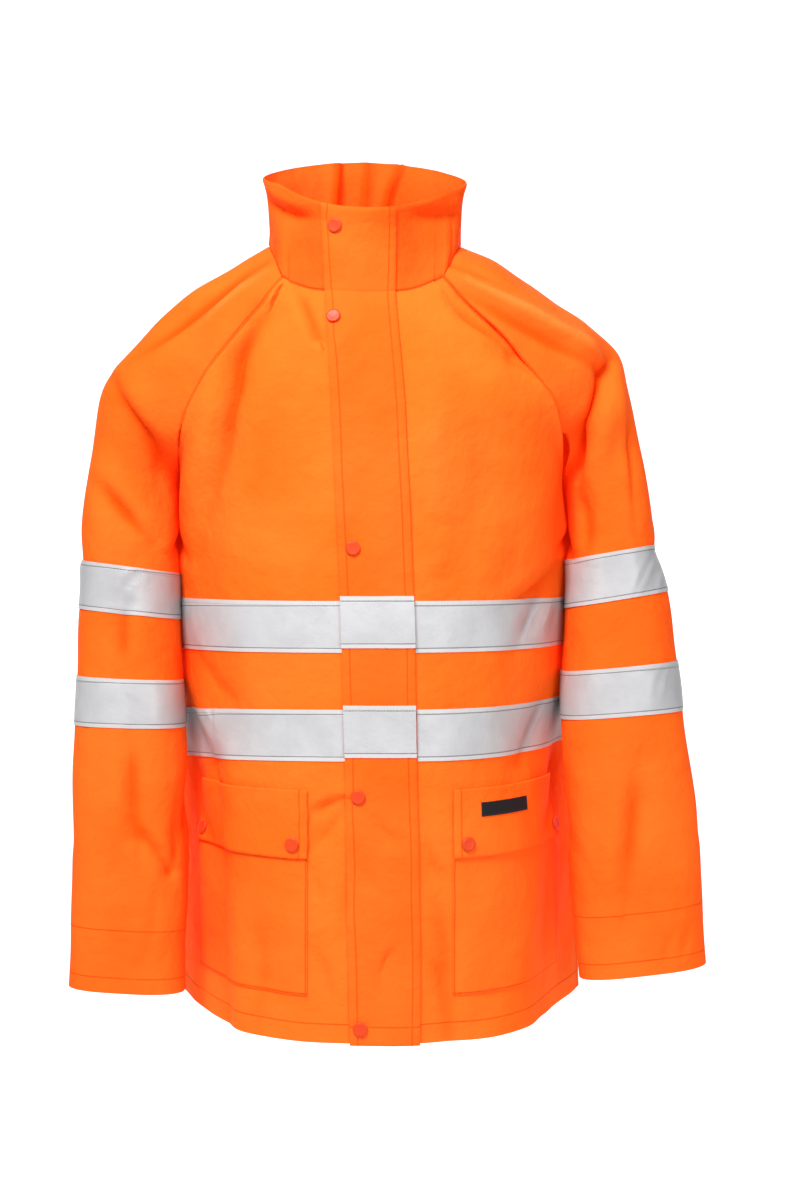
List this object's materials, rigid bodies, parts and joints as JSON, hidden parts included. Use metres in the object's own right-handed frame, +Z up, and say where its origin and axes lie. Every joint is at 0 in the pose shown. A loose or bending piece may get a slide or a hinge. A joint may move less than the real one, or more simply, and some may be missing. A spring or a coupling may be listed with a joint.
{
  "type": "hi-vis work jacket",
  "caption": "High-visibility raglan-sleeve work jacket, hollow as worn, with stand collar, snap-closed storm flap, flapped patch pockets and reflective tape round body and sleeves.",
  "frame": {"origin": "midway between the two sides of the neck seam, on the shoulder line, where the wearer's shoulders carry the jacket", "axes": "+Z up, -Y towards the front of the jacket, +X towards the wearer's left"},
  "size_m": [0.643, 0.296, 0.8991],
  "materials": {
    "orange_cloth": "smooth coated woven cloth in fluorescent orange, slightly satin",
    "reflective_tape": "silver-grey retroreflective tape, satin, stitched along both edges",
    "snap_plastic": "lacquered snap caps in a pinkish orange, glossy",
    "label_cloth": "woven black label, matte and bare"
  },
  "bodies": {
    "root": {"front_right": "orange_cloth", "front_left": "orange_cloth", "back": "orange_cloth", "sleeve_right": "orange_cloth", "sleeve_left": "orange_cloth", "collar": "orange_cloth", "storm_flap": "orange_cloth", "tape_upper_front_right": "reflective_tape", "tape_upper_front_left": "reflective_tape", "tape_upper_back": "reflective_tape", "tape_upper_flap": "reflective_tape", "tape_lower_front_right": "reflective_tape", "tape_lower_front_left": "reflective_tape", "tape_lower_back": "reflective_tape", "tape_lower_flap": "reflective_tape", "sleeve_tape_right_upper": "reflective_tape", "sleeve_tape_right_lower": "reflective_tape", "sleeve_tape_left_upper": "reflective_tape", "sleeve_tape_left_lower": "reflective_tape", "pocket_right": "orange_cloth", "pocket_left": "orange_cloth", "pocket_flap_right": "orange_cloth", "pocket_flap_left": "orange_cloth", "label": "label_cloth", "pocket_snap_right_inner": "snap_plastic", "pocket_snap_right_outer": "snap_plastic", "pocket_snap_left_inner": "snap_plastic", "pocket_snap_left_outer": "snap_plastic", "flap_snap_1": "snap_plastic", "flap_snap_2": "snap_plastic", "flap_snap_3": "snap_plastic", "flap_snap_4": "snap_plastic", "flap_snap_5": "snap_plastic"}
  },
  "joints": []
}
